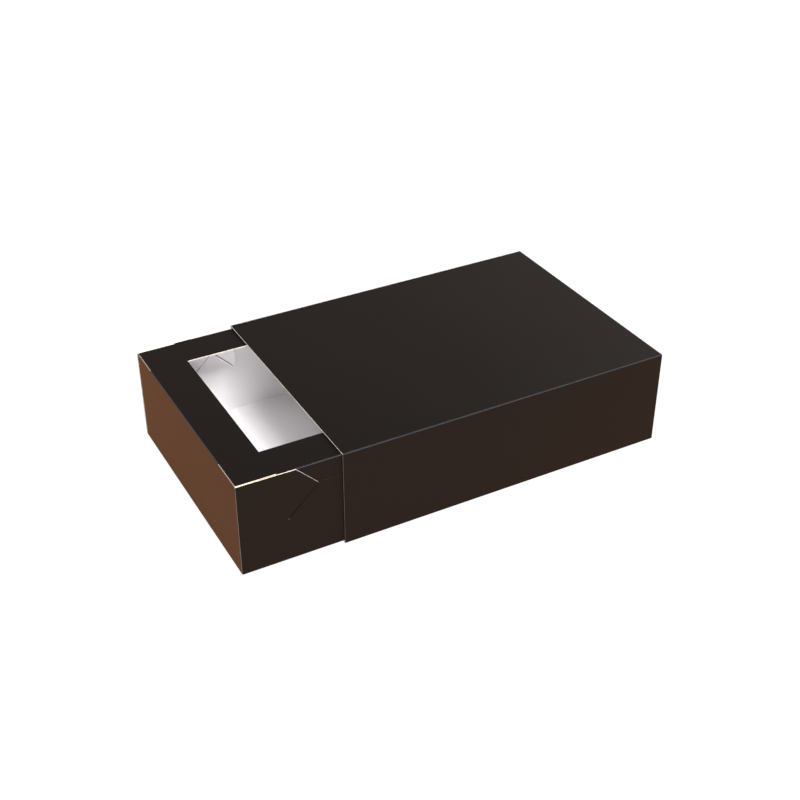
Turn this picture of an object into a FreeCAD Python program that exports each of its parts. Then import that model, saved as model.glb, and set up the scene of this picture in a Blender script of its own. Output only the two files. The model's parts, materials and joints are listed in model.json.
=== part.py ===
import FreeCAD, Part
import math
import os

# Sliding drawer gift box: a folded card drawer with a window lid in an open-ended card sleeve.
# Millimetres. +Z is up and the drawer slides out along -Y, which is the front.
# The origin is at the centre of the sleeve's underside.
# Each flat panel of the two folded sheets is one piece, and it carries the creases named in its function.

# Card
card = 0.45
crease_radius = 0.6

# Sleeve, outside
sleeve_width = 132.7
sleeve_length = 181.0
sleeve_height = 51.9
glue_flap_height = 15.0
glue_flap_slant = 4.0

# Drawer and its running gaps in the sleeve
drawer_length = 180.0
side_gap = 1.0
floor_gap = 0.2
roof_gap = 0.6
pulled_out = 52.0

# Lid and its window
frame_margin = 20.0
tuck_depth = 14.0
tuck_corner = 5.0

# Corner locks of the lid: wall ears, side skirts and the barbs below the skirts
ear_reach = 29.0
skirt_depth = 11.0
barb_reach = 10.9
barb_bulge = 1.4
barb_lap = 3.0
slit = 0.2
fit = 0.05
wing_slant = 3.0

# Places worked out from the sizes above
sleeve_side = sleeve_width / 2
sleeve_back = sleeve_length / 2
drawer_side = sleeve_side - card - side_gap
drawer_floor = card + floor_gap
drawer_top = sleeve_height - card - roof_gap
drawer_height = drawer_top - drawer_floor
drawer_front = -sleeve_back - pulled_out
drawer_back = drawer_front + drawer_length
drawer_middle = drawer_front + drawer_length / 2
hinge_side = drawer_side - frame_margin
wing_length = frame_margin - fit
inner_radius = crease_radius - card

RIGHT = FreeCAD.Vector(1, 0, 0)
BACK = FreeCAD.Vector(0, 1, 0)
UP = FreeCAD.Vector(0, 0, 1)
CENTRE = FreeCAD.Vector(0, 0, 0)


def sheet(points, depth):
    """Flat card with the given outline, made thick along the vector depth."""
    return Part.Face(Part.makePolygon(points + points[:1])).extrude(depth)


def slab(x0, x1, y0, y1, z0, z1):
    """Rectangular card between two corners."""
    corner = FreeCAD.Vector(x0, y0, z0)
    return Part.makeBox(x1 - x0, y1 - y0, z1 - z0, corner)


def crease(centre, normal_a, normal_b, run):
    """Quarter bend from the panel that faces normal_a to the one that faces normal_b."""
    middle = (normal_a + normal_b).normalize()
    outer = [centre + way * crease_radius for way in (normal_a, middle, normal_b)]
    inner = [centre + way * inner_radius for way in (normal_b, middle, normal_a)]
    edges = [
        Part.Arc(*outer).toShape(),
        Part.LineSegment(outer[2], inner[0]).toShape(),
        Part.Arc(*inner).toShape(),
        Part.LineSegment(inner[2], outer[0]).toShape(),
    ]
    return Part.Face(Part.Wire(edges)).extrude(run)


def joined(first, *others):
    """One solid from pieces of the same card."""
    return first.fuse(list(others)).removeSplitter()


def to_left(shape):
    return shape.mirror(CENTRE, RIGHT)


def to_back(shape):
    return shape.mirror(FreeCAD.Vector(0, drawer_middle, 0), BACK)


def on_wall(from_front, below_top, x):
    """Point on a long wall of the drawer, by its distance from the front and from the top."""
    return FreeCAD.Vector(x, drawer_front + from_front, drawer_top - below_top)


# Sleeve


def sleeve_crease(x, z, normal_a, normal_b):
    start = FreeCAD.Vector(x, -sleeve_back, z)
    return crease(start, normal_a, normal_b, BACK * sleeve_length)


def sleeve_top_panel():
    edge = sleeve_side - crease_radius
    return slab(-edge, edge, -sleeve_back, sleeve_back, sleeve_height - card, sleeve_height)


def sleeve_right_panel():
    """Near side with the creases to the top and to the bottom."""
    edge = sleeve_side - crease_radius
    high = sleeve_height - crease_radius
    wall = slab(sleeve_side - card, sleeve_side, -sleeve_back, sleeve_back, crease_radius, high)
    upper = sleeve_crease(edge, high, RIGHT, UP)
    lower = sleeve_crease(edge, crease_radius, RIGHT, -UP)
    return joined(wall, upper, lower)


def sleeve_left_panel():
    """Far side, glued over the flap: its lower edge is the cut end of the sheet."""
    high = sleeve_height - crease_radius
    wall = slab(-sleeve_side, card - sleeve_side, -sleeve_back, sleeve_back, 0, high)
    upper = sleeve_crease(crease_radius - sleeve_side, high, -RIGHT, UP)
    return joined(wall, upper)


def sleeve_bottom_panel():
    left = crease_radius + card - sleeve_side
    return slab(left, sleeve_side - crease_radius, -sleeve_back, sleeve_back, 0, card)


def sleeve_glue_flap():
    """Flap that stands up inside the far side, with its ends cut at a slant."""
    face = card - sleeve_side
    low = [FreeCAD.Vector(face, end, crease_radius) for end in (-sleeve_back, sleeve_back)]
    tip = sleeve_back - glue_flap_slant
    high = [FreeCAD.Vector(face, end, glue_flap_height) for end in (tip, -tip)]
    flap = sheet(low + high, RIGHT * card)
    return joined(flap, sleeve_crease(face + crease_radius, crease_radius, -RIGHT, -UP))


# Drawer tray


def drawer_base():
    x = drawer_side - crease_radius
    y0 = drawer_front + crease_radius
    y1 = drawer_back - crease_radius
    return slab(-x, x, y0, y1, drawer_floor, drawer_floor + card)


def lock_corner():
    """Where the ear's slanted edge meets its slit, as distances from the front and the top."""
    return ear_reach + skirt_depth, skirt_depth


def slit_end():
    """Foot of the slit: the ear swings about the line from the wall's top corner to here."""
    share = ear_reach / 2 + skirt_depth
    return share, share


def wall_ear():
    """Ear of the right wall at the front, pushed out by one card over the lid's skirt."""
    inside = drawer_side - card
    back_off = slit / math.sqrt(2)
    corner = [size - back_off for size in lock_corner()]
    foot = [size - back_off for size in slit_end()]
    outline = [(0, 0), (ear_reach, 0), corner, foot]
    ear = sheet([on_wall(s, d, inside) for s, d in outline], RIGHT * card)
    swing = math.degrees(math.asin(card / (ear_reach / math.sqrt(2))))
    ear.rotate(on_wall(0, 0, inside), BACK - UP, swing)
    return ear


def drawer_right_wall():
    """Long wall: full height in the end ears, and lower between them, where the skirt fills it."""
    inside = drawer_side - card
    low = drawer_height - crease_radius
    corner = lock_corner()
    rim = corner[1] + fit
    foot = slit_end()
    front = [(0, low), (0, 0), foot, (corner[0] - fit, rim)]
    back = [(drawer_length - s, d) for s, d in reversed(front)]
    wall = sheet([on_wall(s, d, inside) for s, d in front + back], RIGHT * card)
    centre = FreeCAD.Vector(drawer_side - crease_radius, drawer_front + crease_radius, drawer_floor + crease_radius)
    foot_crease = crease(centre, RIGHT, -UP, BACK * (drawer_length - 2 * crease_radius))
    ear = wall_ear()
    return joined(wall, foot_crease, ear, to_back(ear))


def end_crease(x, y, z, normal_a, normal_b):
    """Crease across the drawer between -x and x."""
    start = FreeCAD.Vector(-x, y, z)
    return crease(start, normal_a, normal_b, RIGHT * (2 * x))


def end_wall(top):
    """End wall between the corner wings, from the base crease up to the height top."""
    x = drawer_side - card - crease_radius
    y = drawer_front + crease_radius
    low = drawer_floor + crease_radius
    wall = slab(-x, x, drawer_front, drawer_front + card, low, top)
    return joined(wall, end_crease(x, y, low, -BACK, -UP))


def drawer_front_wall():
    """Front wall: the lid is creased to it over the width of the window."""
    high = drawer_top - crease_radius
    wall = end_wall(drawer_top)
    opening = slab(-hinge_side, hinge_side, drawer_front, drawer_front + card, high, drawer_top)
    hinge = end_crease(hinge_side, drawer_front + crease_radius, high, -BACK, UP)
    return joined(wall.cut(opening), hinge)


def drawer_back_wall():
    return to_back(end_wall(drawer_top))


def corner_wing():
    """Wing of the front wall, folded back inside the right wall."""
    face = drawer_side - card
    centre = FreeCAD.Vector(face - crease_radius, drawer_front + crease_radius, drawer_floor + crease_radius)
    fold = crease(centre, -BACK, RIGHT, UP * (drawer_height - crease_radius))
    low = drawer_height - crease_radius
    outline = [(crease_radius, 0), (wing_length, 0), (wing_length - wing_slant, low), (crease_radius, low)]
    wing = sheet([on_wall(s, d, face - card) for s, d in outline], RIGHT * card)
    return joined(wing, fold)


# Lid


def lid_edge():
    """Front right quarter of the lid's outline, from the hinge to the side crease, as x and y from the front."""
    inset = card + fit
    beside_wing = drawer_side - card - inset
    in_ear = [drawer_side - inset + card * place / ear_reach for place in (frame_margin, ear_reach)]
    crease_line = drawer_side - crease_radius
    start = ear_reach + slit
    return [
        (hinge_side, inset),
        (beside_wing, inset),
        (beside_wing, frame_margin),
        (in_ear[0], frame_margin),
        (in_ear[1], ear_reach),
        (crease_line, start),
    ]


def window_lid():
    """Lid panel with the window, lying between the walls and creased along its sides."""
    quarter = lid_edge()
    front = [(hinge_side, crease_radius)] + quarter
    tuck_line = card + fit + crease_radius
    back = [(hinge_side, tuck_line)] + quarter
    right = [FreeCAD.Vector(x, drawer_front + y, drawer_top - card) for x, y in front]
    right += [FreeCAD.Vector(x, drawer_back - y, drawer_top - card) for x, y in reversed(back)]
    left = [FreeCAD.Vector(-point.x, point.y, point.z) for point in reversed(right)]
    panel = sheet(right + left, UP * card)
    y0 = drawer_front + frame_margin
    y1 = drawer_back - frame_margin
    window = slab(-hinge_side, hinge_side, y0, y1, drawer_top - card, drawer_top)
    return panel.cut(window)


def barb():
    """Hook below the right skirt, tucked behind the wall: a slanted edge, a tip and a bowed back."""
    face = drawer_side - card
    root = skirt_depth - barb_lap
    back = lock_corner()[0] + barb_reach
    tip = on_wall(back, skirt_depth + barb_reach, face)
    heel = on_wall(back, skirt_depth, face)
    bow = on_wall(back + barb_bulge, skirt_depth + barb_reach / 2, face)
    shoulder = on_wall(back, root, face)
    start = on_wall(ear_reach + root + slit, root, face)
    edges = [
        Part.LineSegment(start, tip).toShape(),
        Part.Arc(tip, bow, heel).toShape(),
        Part.LineSegment(heel, shoulder).toShape(),
        Part.LineSegment(shoulder, start).toShape(),
    ]
    return Part.Face(Part.Wire(edges)).extrude(-RIGHT * card)


def right_skirt():
    """Side skirt of the lid, flush with the wall below it, with a barb at each end."""
    start = ear_reach + slit
    outline = [(start, 0), (start + skirt_depth, skirt_depth)]
    outline += [(drawer_length - s, d) for s, d in reversed(outline)]
    inside = drawer_side - crease_radius
    trim = sheet([on_wall(s, d, inside) for s, d in outline], RIGHT * crease_radius)
    high = drawer_top - crease_radius
    y0 = drawer_front + start
    y1 = drawer_back - start
    wall = slab(drawer_side - card, drawer_side, y0, y1, drawer_top - skirt_depth, high)
    bend = crease(FreeCAD.Vector(inside, y0, high), RIGHT, UP, BACK * (y1 - y0))
    hook = barb()
    return joined(joined(wall, bend).common(trim), hook, to_back(hook))


def lid_tuck_flap():
    """Back flap of the lid, tucked down inside the back wall with its corners cut off."""
    y = drawer_back - card - fit
    high = drawer_top - crease_radius
    low = drawer_top - tuck_depth
    outline = [(hinge_side, high), (hinge_side, low + tuck_corner), (hinge_side - tuck_corner, low)]
    outline += [(-x, z) for x, z in reversed(outline)]
    flap = sheet([FreeCAD.Vector(x, y, z) for x, z in outline], -BACK * card)
    return joined(flap, end_crease(hinge_side, y - crease_radius, high, BACK, UP))


def all_pieces():
    wing = corner_wing()
    wall = drawer_right_wall()
    skirt = right_skirt()
    return {
        "sleeve_top_panel": sleeve_top_panel(),
        "sleeve_right_panel": sleeve_right_panel(),
        "sleeve_left_panel": sleeve_left_panel(),
        "sleeve_bottom_panel": sleeve_bottom_panel(),
        "sleeve_glue_flap": sleeve_glue_flap(),
        "drawer_base": drawer_base(),
        "drawer_front_wall": drawer_front_wall(),
        "drawer_back_wall": drawer_back_wall(),
        "drawer_right_wall": wall,
        "drawer_left_wall": to_left(wall),
        "corner_wing_front_right": wing,
        "corner_wing_front_left": to_left(wing),
        "corner_wing_back_right": to_back(wing),
        "corner_wing_back_left": to_back(to_left(wing)),
        "window_lid": window_lid(),
        "lid_right_skirt": skirt,
        "lid_left_skirt": to_left(skirt),
        "lid_tuck_flap": lid_tuck_flap(),
    }


def main():
    os.makedirs("parts", exist_ok=True)
    for name, shape in all_pieces().items():
        solids = shape.Solids
        print(name, len(solids), "solid", shape.isValid(), round(shape.Volume, 1), "mm3")
        solids[0].exportStep("parts/" + name + ".step")


main()
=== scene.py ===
import json
import math
import bmesh
import bpy
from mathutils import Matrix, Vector


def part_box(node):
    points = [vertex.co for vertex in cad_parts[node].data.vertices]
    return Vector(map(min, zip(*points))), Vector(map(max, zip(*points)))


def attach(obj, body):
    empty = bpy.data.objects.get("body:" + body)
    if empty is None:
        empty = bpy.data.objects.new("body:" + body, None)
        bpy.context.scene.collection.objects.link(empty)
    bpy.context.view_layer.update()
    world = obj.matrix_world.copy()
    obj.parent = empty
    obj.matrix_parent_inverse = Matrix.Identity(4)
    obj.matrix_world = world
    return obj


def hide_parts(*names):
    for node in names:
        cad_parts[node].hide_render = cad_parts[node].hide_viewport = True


# Looks of a sliding drawer gift box: satin black laminated card, white inside, with cream cut edges.
# Metres. The drawer slides out towards -Y and the camera stands to the right of it.

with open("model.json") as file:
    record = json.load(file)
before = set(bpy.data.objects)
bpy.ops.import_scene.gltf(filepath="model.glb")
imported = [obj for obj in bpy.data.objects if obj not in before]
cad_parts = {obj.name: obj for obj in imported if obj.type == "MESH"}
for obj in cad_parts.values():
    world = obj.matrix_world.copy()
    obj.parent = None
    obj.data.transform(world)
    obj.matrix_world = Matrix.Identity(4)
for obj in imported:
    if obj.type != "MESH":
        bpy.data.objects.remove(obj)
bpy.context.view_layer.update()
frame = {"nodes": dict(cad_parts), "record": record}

MM = 0.001
CARD = 0.45 * MM

# Points nearer than this are joined, faces flatter than this are joined, and corners sharper than this are rounded
WELD = 0.02 * MM
FLAT_ANGLE = math.radians(0.5)
EDGE_ANGLE = math.radians(40)

# How far the lid's side skirts reach down, and how far in the barbs below them spring for each length down
SKIRT_DEPTH = 11 * MM
BARB_TILT = 0.08

# Slots that the barbs hook through: where they start and end, as far below the top as inwards of the skirt's start
SLOT_START = SKIRT_DEPTH + 1.5 * MM
SLOT_END = SKIRT_DEPTH + 10.7 * MM

# Slits between the ears and the walls: how far below the top they lie where the skirt starts, and where they end,
# along the drawer from there
SLIT_DEPTH = 21.8 * MM
SLIT_TIP = 10.7 * MM
SLIT_FOOT = -4.6 * MM

# Part of a step across a slanted cut that goes along the drawer, and that goes down
SLANT = 0.71


# Node trees


class Term:
    """A value in a node tree. Sums and products of terms add Math nodes."""

    def __init__(self, nodes, socket):
        self.nodes = nodes
        self.socket = socket

    def math(self, operation, *others):
        inputs = dict(enumerate((self,) + others))
        return self.nodes.add("ShaderNodeMath", {"operation": operation}, inputs)

    def __add__(self, other):
        return self.math("ADD", other)

    def __mul__(self, other):
        return self.math("MULTIPLY", other)

    def __rsub__(self, other):
        return self.nodes.add("ShaderNodeMath", {"operation": "SUBTRACT"}, {0: other, 1: self})

    __radd__ = __add__
    __rmul__ = __mul__

    def size(self):
        return self.math("ABSOLUTE")

    def within(self, low, high):
        """Rises smoothly from 0 at low to 1 at high."""
        settings = {"interpolation_type": "SMOOTHSTEP"}
        return self.nodes.add("ShaderNodeMapRange", settings, {0: self, 1: low, 2: high})


class Nodes:
    """A node tree of a material, of the world or of a shape."""

    def __init__(self, tree):
        self.tree = tree

    def add(self, kind, settings=None, inputs=None, output=0):
        node = self.tree.nodes.new(kind)
        for name, value in (settings or {}).items():
            setattr(node, name, value)
        for name, value in (inputs or {}).items():
            if isinstance(value, Term):
                self.tree.links.new(value.socket, node.inputs[name])
            else:
                node.inputs[name].default_value = value
        return Term(self, node.outputs[output]) if node.outputs else None

    def other(self, term, output):
        """Another output of the node that a term comes from."""
        return Term(self, term.socket.node.outputs[output])

    def mixed(self, share, first, second, **settings):
        """Colour between two colours."""
        settings["data_type"] = "RGBA"
        return self.add("ShaderNodeMix", settings, {"Factor": share, 6: first, 7: second}, 2)


def rgb(red, green, blue):
    return (red, green, blue, 1.0)


WHITE = rgb(1.0, 1.0, 1.0)


def new_material(name):
    material = bpy.data.materials.new(name)
    material.use_nodes = True
    material.node_tree.nodes.clear()
    return material, Nodes(material.node_tree)


def object_position(nodes):
    return nodes.add("ShaderNodeTexCoord", output="Object")


def object_normal(nodes):
    """The three parts of the surface's direction, as terms."""
    normal = nodes.add("ShaderNodeTexCoord", output="Normal")
    x = nodes.add("ShaderNodeSeparateXYZ", None, {0: normal})
    return x, nodes.other(x, 1), nodes.other(x, 2)


def noise(nodes, at, cell, detail=2.0, roughness=0.5):
    """Soft random pattern from 0 to 1 whose blobs are about one cell wide."""
    inputs = {"Vector": at, "Scale": 1 / cell, "Detail": detail, "Roughness": roughness}
    return nodes.add("ShaderNodeTexNoise", None, inputs)


def stretched(nodes, at, x, y, z):
    settings = {"operation": "MULTIPLY"}
    return nodes.add("ShaderNodeVectorMath", settings, {0: at, 1: (x, y, z)})


def bump(nodes, height, strength, distance):
    inputs = {"Strength": strength, "Distance": distance, "Height": height}
    return nodes.add("ShaderNodeBump", None, inputs)


def finish_with(nodes, **inputs):
    """Surface with the named inputs, where an underscore stands for a space."""
    named = {name.replace("_", " "): value for name, value in inputs.items()}
    shader = nodes.add("ShaderNodeBsdfPrincipled", None, named)
    nodes.add("ShaderNodeOutputMaterial", None, {"Surface": shader})


# Materials

GLOW = rgb(1.0, 0.42, 0.2)
# Rubbed ink on the folds, whose bluish light grey is also a painted highlight
RUBBED_INK_AND_HIGHLIGHT = rgb(0.045, 0.056, 0.068)
# Near-black of shut seams, painted shade where cut edges lie against each other
SEAM_SHADE_DARK = rgb(0.0012, 0.0010, 0.0010)
SEAM_SHADE_PALE = rgb(0.0030, 0.0026, 0.0024)
PULP_SHADE = rgb(0.45, 0.33, 0.25)

# Black print of the top panels and of the walls: one card in two copies, on the top panels darker and with less
# sheen as painted shade, and on the walls lighter and with more brown sheen as painted light
TOP_PANELS = ("sleeve_top_panel", "window_lid")
SHADED_TOP_FILM = {
    "dark": rgb(0.0018, 0.0013, 0.0009),
    "light": rgb(0.0036, 0.0025, 0.0018),
    "shine": 0.05,
    "rough": 0.55,
    "nap": 0.055,
}
LIT_WALL_FILM = {
    "dark": rgb(0.0080, 0.0064, 0.0055),
    "light": rgb(0.0134, 0.0107, 0.0093),
    "shine": 0.0,
    "rough": 0.5,
    "nap": 0.232,
}

# How white the lining is: of most panels, and, whiter as a painted highlight, of the lid's skirts and the lips of
# the slots
WHITE_LINING = 0.82
HIGHLIGHT_LINING = 0.97

# Cut edges, by style: the colour of those that face up, the colour of the upright ones, darker as painted shade, the
# depth in cards from which a face counts as a cut edge, and how far the corners are rounded.
# The drawer's side walls, far and near, are hardly rounded, so that the seams and slits beside their ears stay dark.
EDGE_STYLES = {
    "pale": (rgb(0.95, 0.87, 0.77), rgb(0.95, 0.85, 0.74), 1.3, 0.08 * MM),
    "far": (rgb(0.95, 0.87, 0.77), rgb(0.12, 0.10, 0.085), 1.3, 0.004 * MM),
    "near": (rgb(0.70, 0.61, 0.50), rgb(0.29, 0.24, 0.185), 1.6, 0.004 * MM),
    "wall": (rgb(0.70, 0.61, 0.50), rgb(0.29, 0.24, 0.185), 1.6, 0.05 * MM),
    "tan": (rgb(0.20, 0.165, 0.14), rgb(0.20, 0.165, 0.14), 1.6, 0.05 * MM),
    "brown": (rgb(0.18, 0.13, 0.095), rgb(0.18, 0.13, 0.095), 1.6, 0.05 * MM),
}

# Panels whose cut edges aren't in the style "wall": their edge colours differ from panel to panel as painted light
# and shade
NODE_EDGES = {
    "sleeve_top_panel": "pale",
    "sleeve_right_panel": "brown",
    "sleeve_left_panel": "brown",
    "window_lid": "pale",
    "drawer_left_wall": "far",
    "drawer_right_wall": "near",
    "drawer_front_wall": "tan",
    "drawer_back_wall": "tan",
}


def on_folds(nodes):
    """1 on the round of the folds that join a wall to the top or the bottom, and 0 on flat card."""
    x, y, z = object_normal(nodes)
    return ((x * z).size() + (y * z).size()).within(0.2, 0.48)


def laminate(name, film):
    """Black print under a soft film: a faint grain, an uneven gloss, and rubbed ink on the folds, which is also
    lightened to blue-grey as a painted highlight. The film's nap glows brown at a flat angle."""
    material, nodes = new_material(name)
    at = object_position(nodes)
    flecks = noise(nodes, at, 0.5 * MM, 4.0, 0.65).within(0.42, 0.66)
    # Painted highlight: the rounds of the folds are lightened to blue-grey, along with the rubbed ink
    wear_and_highlight = on_folds(nodes) * (0.6 + 0.4 * flecks)
    cloud = noise(nodes, at, 45 * MM, 3.0)
    grain = noise(nodes, at, 0.22 * MM, 2.0)
    tone = nodes.mixed(grain * 0.35, film["dark"], film["light"])
    colour = nodes.mixed(wear_and_highlight * 0.75, tone, RUBBED_INK_AND_HIGHLIGHT)
    gloss = film["rough"] + 0.08 * cloud + 0.05 * grain + 0.10 * wear_and_highlight
    height = bump(nodes, noise(nodes, at, 0.35 * MM, 3.0), 0.10, 0.02 * MM)
    finish_with(
        nodes,
        Base_Color=colour,
        Roughness=gloss,
        Normal=height,
        Specular_IOR_Level=film["shine"],
        Sheen_Weight=film["nap"],
        Sheen_Roughness=0.38,
        Sheen_Tint=GLOW,
    )
    return material


def seam_shade(name):
    """Painted shade on cut edges that are pressed against each other: near-black, as next to no light gets in."""
    material, nodes = new_material(name)
    specks = noise(nodes, object_position(nodes), 0.3 * MM, 2.0)
    colour = nodes.mixed(specks, SEAM_SHADE_DARK, SEAM_SHADE_PALE)
    finish_with(nodes, Base_Color=colour, Roughness=0.9 + 0.1 * specks, Specular_IOR_Level=0.0)
    return material


def off_white(level):
    return rgb(level, level - 0.02, level - 0.012)


def lining(name, white):
    """Uncoated white back of the card: fibres and a slight mottle."""
    material, nodes = new_material(name)
    at = object_position(nodes)
    mottle = noise(nodes, at, 6 * MM, 4.0, 0.6)
    fibres = noise(nodes, stretched(nodes, at, 1.0, 0.25, 1.0), 0.18 * MM, 4.0, 0.7)
    dull, fair, bright = (off_white(white * share) for share in (0.95, 0.99, 1.01))
    colour = nodes.mixed(mottle, dull, fair)
    colour = nodes.mixed(0.6 * fibres.within(0.35, 0.6), colour, bright)
    finish_with(
        nodes,
        Base_Color=colour,
        Roughness=0.86 + 0.1 * fibres,
        Normal=bump(nodes, fibres, 0.25, 0.02 * MM),
        Specular_IOR_Level=0.25,
    )
    return material


def cut_edge(name, lit_facing_up, shaded_upright):
    """Raw edge of the board: pulp in thin plies."""
    material, nodes = new_material(name)
    at = object_position(nodes)
    rise = object_normal(nodes)[2]
    # Painted shade: upright faces take the darker colour, and faces that point up the lighter one
    base = nodes.mixed(rise.within(0.75, 0.95), shaded_upright, lit_facing_up)
    plies = noise(nodes, at, 0.09 * MM, 3.0, 0.7).within(0.3, 0.7)
    patches = noise(nodes, at, 4 * MM, 3.0).within(0.35, 0.7)
    shade = nodes.mixed(0.20 * (1 - plies) + 0.10 * patches, WHITE, PULP_SHADE)
    finish_with(
        nodes,
        Base_Color=nodes.mixed(1.0, base, shade, blend_type="MULTIPLY"),
        Roughness=0.9,
        Normal=bump(nodes, plies, 0.4, 0.03 * MM),
        Specular_IOR_Level=0.2,
    )
    return material


# Card panels


def welded_copy(node):
    """Mesh of a panel with its loose triangles joined, and its flat faces in one piece."""
    shape = bmesh.new()
    shape.from_mesh(frame["nodes"][node].data)
    bmesh.ops.remove_doubles(shape, verts=shape.verts, dist=WELD)
    bmesh.ops.dissolve_limit(shape, angle_limit=FLAT_ANGLE, verts=shape.verts, edges=shape.edges)
    mesh = bpy.data.meshes.new(node)
    shape.to_mesh(mesh)
    shape.free()
    for name in ("custom_normal", "sharp_edge", "sharp_face"):
        if name in mesh.attributes:
            mesh.attributes.remove(mesh.attributes[name])
    mesh.materials.clear()
    return mesh


def sprung_barbs(mesh, side):
    """The barbs below a skirt spring away from the wall, the more the lower they hang."""
    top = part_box("window_lid")[1].z
    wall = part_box("lid_right_skirt")[1].x - CARD
    for point in mesh.vertices:
        below = top - SKIRT_DEPTH - point.co.z
        if below > 0 and side * point.co.x < wall + WELD:
            point.co.x -= side * below * BARB_TILT


def facing_tree():
    """Geometry nodes that tell the print, the lining and the cut edge of a panel apart, and give each its material.
    A face with no more than the given depth of card behind it is the print or the lining, and any other is a cut
    edge. A face that another edge of the same sheet lies against is a shut seam, and gets a near-black colour as
    painted shade."""
    tree = bpy.data.node_groups.new("card_facing", "GeometryNodeTree")
    face = tree.interface
    face.new_socket("Panel", in_out="INPUT", socket_type="NodeSocketGeometry")
    for name, kind in (
        ("Card", "NodeSocketFloat"),
        ("Depth", "NodeSocketFloat"),
        ("Middle", "NodeSocketVector"),
        ("Sheet", "NodeSocketObject"),
        ("Print", "NodeSocketMaterial"),
        ("Lining", "NodeSocketMaterial"),
        ("Edge", "NodeSocketMaterial"),
        ("Seam", "NodeSocketMaterial"),
    ):
        face.new_socket(name, in_out="INPUT", socket_type=kind)
    face.new_socket("Panel", in_out="OUTPUT", socket_type="NodeSocketGeometry")
    nodes = Nodes(tree)
    given = nodes.add("NodeGroupInput")
    card, depth, middle, sheet, print_face, lining_face, edge_face, seam_face = (
        nodes.other(given, i) for i in range(1, 9)
    )
    panel = nodes.add("GeometryNodeTriangulate", None, {0: given})
    at = nodes.add("GeometryNodeInputPosition")
    normal = nodes.add("GeometryNodeInputNormal")

    def vector_math(operation, inputs, output="Vector"):
        return nodes.add("ShaderNodeVectorMath", {"operation": operation}, inputs, output)

    def scaled(vector, share):
        return vector_math("SCALE", {0: vector, "Scale": share})

    def card_ahead(target, way, length):
        """1 where a ray that starts just off the face meets card within a length."""
        start = vector_math("ADD", {0: at, 1: scaled(way, card * 0.05)})
        reach = {"Target Geometry": target, "Source Position": start, "Ray Direction": way, "Ray Length": length}
        return nodes.add("GeometryNodeRaycast", None, reach)

    def dressed(panel, chosen, material):
        inputs = {"Geometry": panel, "Selection": chosen, "Material": material}
        return nodes.add("GeometryNodeSetMaterial", None, inputs)

    thin = card_ahead(panel, scaled(normal, -1.0), card * depth)
    others = nodes.add("GeometryNodeObjectInfo", None, {"Object": sheet}, "Geometry")
    shut = card_ahead(others, normal, card)
    out = vector_math("SUBTRACT", {0: at, 1: middle})
    printed = vector_math("DOT_PRODUCT", {0: normal, 1: out}, "Value").math("GREATER_THAN", 0.0)
    panel = dressed(panel, True, edge_face)
    panel = dressed(panel, shut, seam_face)
    panel = dressed(panel, thin, lining_face)
    panel = dressed(panel, thin * printed, print_face)
    nodes.add("NodeGroupOutput", None, {0: panel})
    return tree


def set_input(modifier, name, value):
    sockets = modifier.node_group.interface.items_tree
    key = next(s.identifier for s in sockets if s.name == name and s.in_out == "INPUT")
    modifier[key] = value


def apply_modifiers(thing):
    """Works a thing's modifiers into a plain mesh."""
    ready = thing.evaluated_get(bpy.context.evaluated_depsgraph_get())
    mesh = bpy.data.meshes.new_from_object(ready)
    thing.modifiers.clear()
    thing.data = mesh


def new_object(name, data):
    thing = bpy.data.objects.new(name, data)
    bpy.context.scene.collection.objects.link(thing)
    return thing


def card_panel(node, body, facing, rounding, settings):
    mesh = welded_copy(node)
    if node.endswith("_skirt"):
        sprung_barbs(mesh, 1 if "right" in node else -1)
    panel = new_object(node + "_card", mesh)
    mesh.shade_smooth()
    soft = panel.modifiers.new("soft edge", "BEVEL")
    soft.width = rounding
    soft.segments = 2
    soft.limit_method = "ANGLE"
    soft.angle_limit = EDGE_ANGLE
    sort = panel.modifiers.new("facing", "NODES")
    sort.node_group = facing
    for name, value in settings.items():
        set_input(sort, name, value)
    level = panel.modifiers.new("level", "WEIGHTED_NORMAL")
    level.keep_sharp = True
    apply_modifiers(panel)
    panel.data.name = node + "_card"
    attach(panel, body)
    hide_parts(node)


def whole_sheet(names):
    """All panels of a folded sheet in one mesh, for the panels to find their neighbours."""
    joined = bmesh.new()
    for name in names:
        joined.from_mesh(frame["nodes"][name].data)
    mesh = bpy.data.meshes.new("sheet")
    joined.to_mesh(mesh)
    joined.free()
    return new_object("sheet", mesh)


def box_middle(thing):
    """Middle between the lowest and the highest corner of a thing's box."""
    return (Vector(thing.bound_box[0]) + Vector(thing.bound_box[6])) / 2


def dress_cards():
    facing = facing_tree()
    edges = {
        style: cut_edge(style + "_edge", lit_facing_up, shaded_upright)
        for style, (lit_facing_up, shaded_upright, _, _) in EDGE_STYLES.items()
    }
    # One card in two copies: a shaded one for the top panels and a lit one for the walls
    top, wall = laminate("shaded_top_print", SHADED_TOP_FILM), laminate("lit_wall_print", LIT_WALL_FILM)
    white, bright = lining("white_lining", WHITE_LINING), lining("bright_lining", HIGHLIGHT_LINING)
    dark = seam_shade("seam_shade")
    barb_slots(bright, dark)
    # Painted shadow along the slits beside the ears
    ear_slits(dark)
    slit_ends(edges["wall"])
    for body, names in frame["record"]["behaviour"]["bodies"].items():
        sheet = whole_sheet(names)
        middle = box_middle(sheet)
        for name in names:
            style = NODE_EDGES.get(name, "wall")
            depth, rounding = EDGE_STYLES[style][2:]
            printed = top if name in TOP_PANELS else wall
            settings = {
                "Card": CARD,
                "Depth": depth,
                "Middle": middle,
                "Sheet": sheet,
                "Print": printed,
                # The skirts and their barbs take the whiter lining as a painted highlight
                "Lining": bright if name.endswith("_skirt") else white,
                "Edge": edges[style],
                "Seam": dark,
            }
            card_panel(name, body, facing, rounding, settings)
            for slot in frame["nodes"][name].material_slots:
                slot.material = printed
        bpy.data.objects.remove(sheet)


# Corner locks


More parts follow.
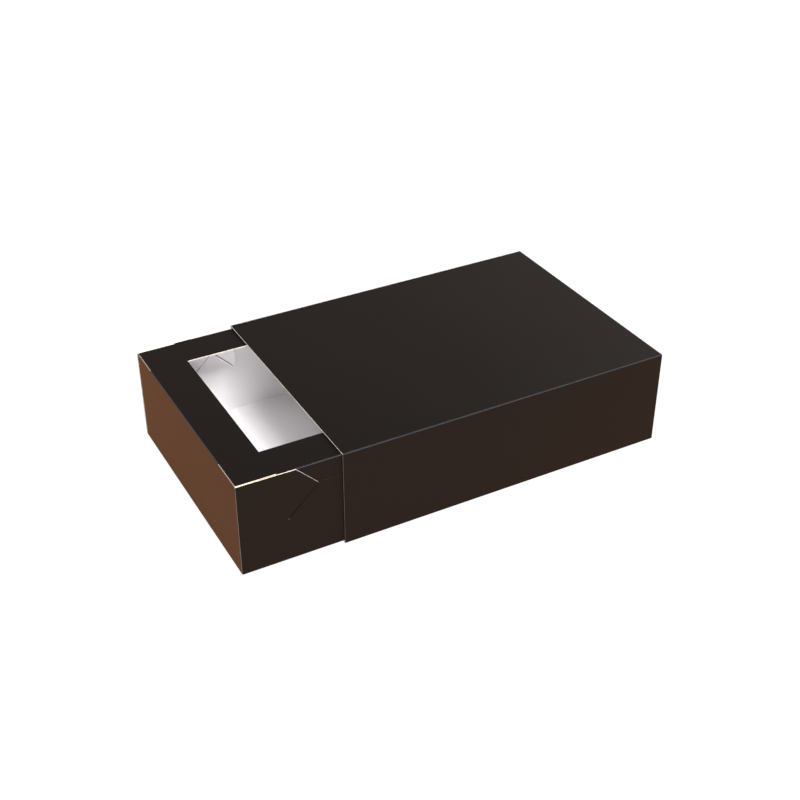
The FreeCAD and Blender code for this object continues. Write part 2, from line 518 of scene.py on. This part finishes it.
def corner_locks():
    """For each of the four corner locks: the side it is on (1 or -1), which way along the drawer is inwards
    (1 or -1), and where its skirt starts along the drawer."""
    for side in (1, -1):
        low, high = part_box("lid_right_skirt" if side > 0 else "lid_left_skirt")
        yield side, 1, low.y
        yield side, -1, high.y


def bar(shape, start, end):
    """Closed bar between two outlines."""
    start, end = ([shape.verts.new(point) for point in outline] for outline in (start, end))
    for i in range(len(start)):
        shape.faces.new((start[i - 1], start[i], end[i], end[i - 1]))
    shape.faces.new(start)
    shape.faces.new(end)


def trimming(name, material, outline, ends):
    """A small shape that belongs to the drawer: a bar at each corner lock, between the outlines at two ends."""
    shape = bmesh.new()
    for lock in corner_locks():
        bar(shape, *(outline(lock, *end) for end in ends))
    bmesh.ops.recalc_face_normals(shape, faces=shape.faces)
    mesh = bpy.data.meshes.new(name)
    shape.to_mesh(mesh)
    shape.free()
    mesh.materials.append(material)
    piece = new_object(name, mesh)
    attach(piece, "drawer")


def slot_outline(lock, place, profile):
    """Outline across the slanted edge of a barb, at a place that is as far below the top as it is inwards of where
    the skirt starts. Each step of the profile goes down and away from the barb, and then in from the wall's outer
    face."""
    side, inwards, start = lock
    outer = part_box("lid_right_skirt")[1]
    points = []
    for across, depth in profile:
        y = start + inwards * (place - across * SLANT)
        points.append((side * (outer.x - depth), y, outer.z - place - across * SLANT))
    return points


def barb_slots(white, dark):
    """Slots that the barbs hook through: a lip that each barb presses in a little, in the whiter lining as a painted
    highlight, and between the two a near-black bar in the gap as painted shadow.
    """
    lip = [(0.36 * MM, CARD), (0.66 * MM, CARD + 0.85 * MM), (1.3 * MM, CARD + 0.75 * MM), (1.4 * MM, CARD)]
    # Near-black bar in each gap, a painted shadow
    gap_shadow = [(0.14 * MM, CARD), (0.14 * MM, CARD + 0.1 * MM), (0.3 * MM, CARD + 0.1 * MM), (0.3 * MM, CARD)]
    for name, profile, material in (("slot_lips", lip, white), ("slot_gaps", gap_shadow, dark)):
        trimming(name, material, slot_outline, ((SLOT_START, profile), (SLOT_END, profile)))


def slit_outline(lock, place, width):
    """Outline across a slit, from a hair off the wall to a hair in it. Places run along the drawer from where the
    skirt starts."""
    side, inwards, start = lock
    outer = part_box("lid_right_skirt")[1]
    proud, sunk = 0.01 * MM, -0.03 * MM
    points = []
    for across, off in ((0.0, proud), (width, proud), (width, sunk), (0.0, sunk)):
        y = start + inwards * (place + across * SLANT)
        points.append((side * (outer.x + off), y, outer.z - SLIT_DEPTH + place - across * SLANT))
    return points


def ear_slits(dark):
    """Near-black strips along the slits between the ears and the walls, as painted shadow. By its tip an ear stands
    out, and hides a part of its slit's width.
    """
    trimming("ear_slits", dark, slit_outline, ((SLIT_TIP, 0.48 * MM), (SLIT_FOOT, 0.12 * MM)))


def slit_ends(pulp):
    """Torn pulp at the foot of each slit."""
    ends = ((SLIT_FOOT, 0.2 * MM), (SLIT_FOOT - 0.25 * MM, 0.2 * MM))
    trimming("slit_ends", pulp, slit_outline, ends)


# Stage

# The floor's grey under the lamps, its white where it is seen, the share of that white, and its half width
FLOOR_GREY = 0.60
FLOOR_WHITE = 1.04
FLOOR_SHARE = 0.9
FLOOR_REACH = 4.0

SKY = rgb(0.9, 0.95, 1.0)
SKY_STRENGTH = 0.60

BOX_MIDDLE = Vector((0.0, -0.03, 0.02))
CAMERA_SPOT = (0.4958, -0.2955, 0.3935)
CAMERA_TARGET = (-0.0058, -0.0218, 0.0181)
CAMERA_LENS = 58.28

NEUTRAL = (1.0, 1.0, 1.0)
SOFT = (1.0, 0.99, 0.98)
WARM = (1.0, 0.98, 0.96)

# Soft lamps: the way from the box to each one in metres, its width, watts and colour
LAMPS = (
    ("high right", (0.80, -0.2, 1.8), 0.44, 18.0, SOFT),
    ("right", (1.10, -0.4, 1.6), 0.44, 10.8, SOFT),
    ("overhead", (0.0, 0.0, 2.0), 0.8, 6.4, NEUTRAL),
    ("mid right", (1.14, 0.12, 1.64), 0.44, 26.0, SOFT),
    ("low front right", (1.75, -0.66, 0.7), 0.8, 13.6, WARM),
    ("front right", (0.90, -1.1, 1.4), 0.8, 3.2, WARM),
    ("front", (0.0, -1.2, 1.6), 0.8, 7.6, WARM),
    ("low back", (-1.0, 1.5, 0.7), 0.8, 9.6, WARM),
    ("low back right", (0.90, 1.7, 0.6), 0.8, 8.0, WARM),
)


def seen(nodes):
    """1 where a thing is looked at, in a mirror or through glass too, and 0 where it only sends light."""
    straight = nodes.add("ShaderNodeLightPath")
    mirrored, through = (nodes.other(straight, name) for name in ("Is Glossy Ray", "Is Transmission Ray"))
    return straight.math("MAXIMUM", mirrored).math("MAXIMUM", through)


def floor():
    """Pale floor: white where it is looked at or reflected, with the object's shadow kept."""
    material, nodes = new_material("floor_white")
    paint = nodes.add("ShaderNodeBsdfDiffuse", None, {"Color": rgb(FLOOR_GREY, FLOOR_GREY, FLOOR_GREY)})
    white = nodes.add("ShaderNodeEmission", None, {"Color": WHITE, "Strength": FLOOR_WHITE})
    blend = nodes.add("ShaderNodeMixShader", None, {0: seen(nodes) * FLOOR_SHARE, 1: paint, 2: white})
    nodes.add("ShaderNodeOutputMaterial", None, {"Surface": blend})
    mesh = bpy.data.meshes.new("floor")
    corners = [(FLOOR_REACH * x, FLOOR_REACH * y, 0) for x, y in ((-1, -1), (1, -1), (1, 1), (-1, 1))]
    mesh.from_pydata(corners, [], [(0, 1, 2, 3)])
    mesh.materials.append(material)
    ground = new_object("floor", mesh)


def look_at(thing, spot, target):
    thing.location = spot
    thing.rotation_euler = (Vector(target) - Vector(spot)).to_track_quat("-Z", "Y").to_euler()


def softbox(name, way, width, watts, colour):
    lamp = bpy.data.lights.new(name, "AREA")
    lamp.shape = "SQUARE"
    lamp.size = width
    lamp.energy = watts
    lamp.color = colour
    look_at(new_object(name, lamp), BOX_MIDDLE + Vector(way), BOX_MIDDLE)


def studio():
    world = bpy.data.worlds.new("studio")
    world.use_nodes = True
    world.node_tree.nodes.clear()
    nodes = Nodes(world.node_tree)
    light = nodes.add("ShaderNodeBackground", None, {"Color": SKY, "Strength": SKY_STRENGTH})
    backdrop = nodes.add("ShaderNodeBackground", None, {"Color": WHITE, "Strength": 1.0})
    blend = nodes.add("ShaderNodeMixShader", None, {0: seen(nodes), 1: light, 2: backdrop})
    nodes.add("ShaderNodeOutputWorld", None, {"Surface": blend})
    bpy.context.scene.world = world
    for lamp in LAMPS:
        softbox(*lamp)


def camera():
    lens = bpy.data.cameras.new("camera")
    lens.lens = CAMERA_LENS
    lens.sensor_width = 36.0
    lens.clip_start = 0.01
    view = new_object("camera", lens)
    look_at(view, CAMERA_SPOT, CAMERA_TARGET)
    bpy.context.scene.camera = view
    bpy.context.scene.view_settings.view_transform = "Standard"


camera()
dress_cards()
floor()
studio()
